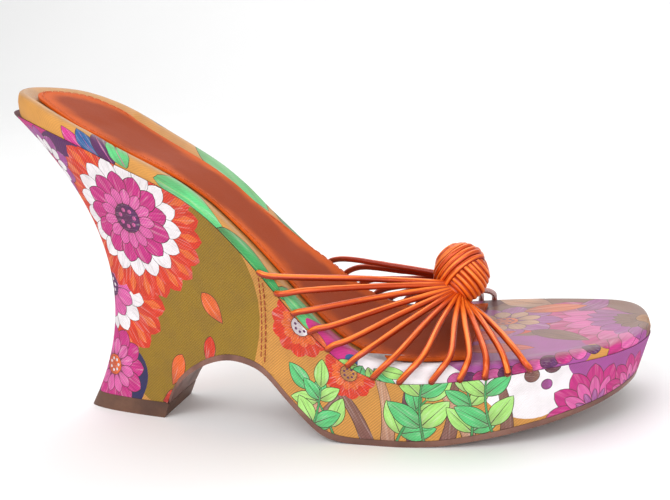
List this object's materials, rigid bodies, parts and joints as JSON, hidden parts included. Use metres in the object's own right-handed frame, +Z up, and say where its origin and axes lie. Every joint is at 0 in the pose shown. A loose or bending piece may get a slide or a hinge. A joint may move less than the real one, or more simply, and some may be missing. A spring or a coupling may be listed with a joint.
{
  "type": "wedge mule",
  "caption": "Backless wedge mule: cloth-covered flared wedge with a cut-out arch and platform, wrapped footbed, and a fan of leather cords tied in one knot over the forefoot.",
  "frame": {"origin": "middle of the bounding box on the floor plane that the heel and forefoot stand on", "axes": "+X from heel to toe, +Y towards the inner side of the foot, +Z up"},
  "size_m": [0.2226, 0.0894, 0.1211],
  "materials": {
    "cover_cloth": "printed cotton twill, matt, multicoloured flowers and leaves",
    "footbed_cloth": "printed cotton twill under a thin clear film, satin",
    "sock_leather": "orange-brown lining leather, soft satin, stitched edge",
    "sole_leather": "brown sole leather, matt, stained edge",
    "top_piece": "brown wearing lift, matt",
    "cord_leather": "metallic orange leather cord, glossy"
  },
  "bodies": {
    "root": {"wedge": "cover_cloth", "footbed": "footbed_cloth", "sock_lining": "sock_leather", "outsole": "sole_leather", "heel_top_piece": "top_piece", "upper": "cord_leather"}
  },
  "joints": []
}
